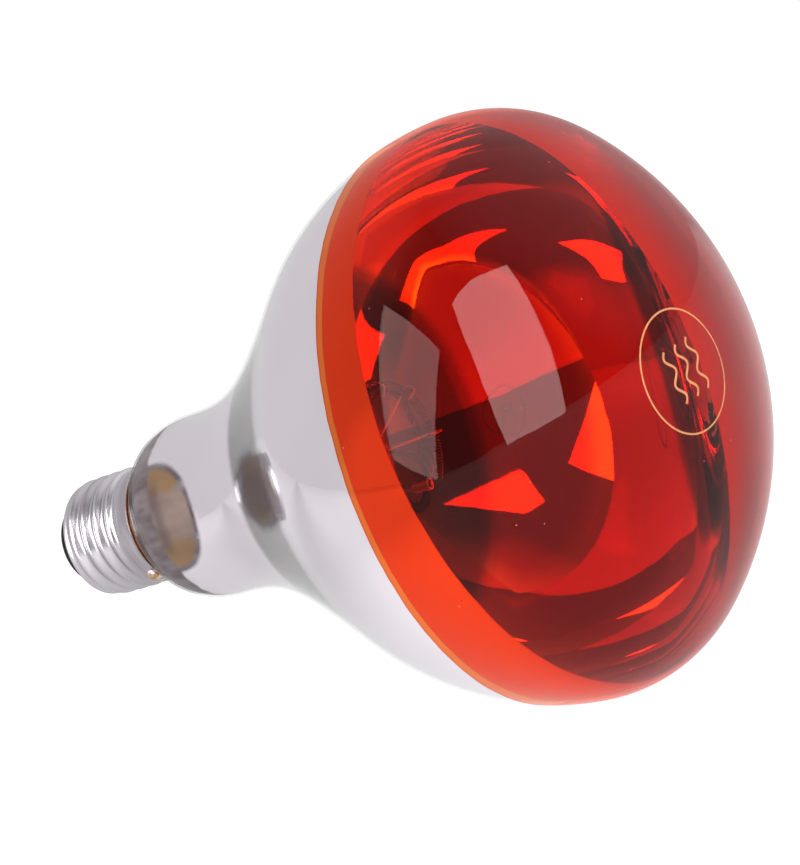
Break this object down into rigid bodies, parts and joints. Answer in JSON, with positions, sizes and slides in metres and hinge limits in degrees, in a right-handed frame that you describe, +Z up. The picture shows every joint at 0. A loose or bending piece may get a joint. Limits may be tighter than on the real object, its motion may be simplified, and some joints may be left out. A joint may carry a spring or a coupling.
{
  "type": "infrared heat lamp",
  "caption": "Red-coated infrared reflector lamp with a screw cap, domed face and mirrored bowl, hung over young animals to keep them warm.",
  "frame": {"origin": "middle of the flat end contact of the screw cap, where the lamp meets its lamp holder", "axes": "Y is the lamp's own axis: +Y points out of the screw cap's end contact and -Y out of the domed face; +Z is up with the lamp lying level, and X is square to both"},
  "size_m": [0.115, 0.162, 0.115],
  "materials": {
    "clear_glass": "clear blown glass, high gloss",
    "mirror_film": "vacuum-coated aluminium, mirror",
    "red_coat": "transparent red filter lacquer, high gloss",
    "cap_aluminium": "rolled sheet, satin",
    "black_glass": "black glass, semi-gloss",
    "contact_brass": "satin",
    "solder": "dull tin-lead solder",
    "cement": "cured resin cement, matte",
    "stem_glass": "clear lead-free stem glass",
    "copper_wire": "bare copper wire",
    "nickel_wire": "nickel-plated wire",
    "mica": "thin mica sheet",
    "tungsten": "drawn tungsten wire"
  },
  "bodies": {
    "root": {"bulb_glass": "clear_glass", "reflector_film": "mirror_film", "red_filter_coat": "red_coat", "screw_shell": "cap_aluminium", "cap_insulator": "black_glass", "centre_contact": "contact_brass", "centre_solder": "solder", "side_solder": "solder", "basing_cement": "cement", "stem_flare": "stem_glass", "stem_press": "stem_glass", "exhaust_tube": "stem_glass", "arbor_rod": "stem_glass", "arbor_button": "stem_glass", "centre_lead": "copper_wire", "side_lead": "copper_wire", "lead_fuse": "stem_glass", "seal_wire_a": "copper_wire", "seal_wire_b": "copper_wire", "inner_lead_a": "nickel_wire", "inner_lead_b": "nickel_wire", "filament_clamp_a": "nickel_wire", "filament_clamp_b": "nickel_wire", "shield_eyelet_a": "contact_brass", "shield_eyelet_b": "contact_brass", "heat_shield": "mica", "filament": "tungsten", "filament_support_1": "nickel_wire", "filament_support_2": "nickel_wire", "filament_support_3": "nickel_wire", "filament_support_4": "nickel_wire", "filament_support_5": "nickel_wire"}
  },
  "joints": []
}
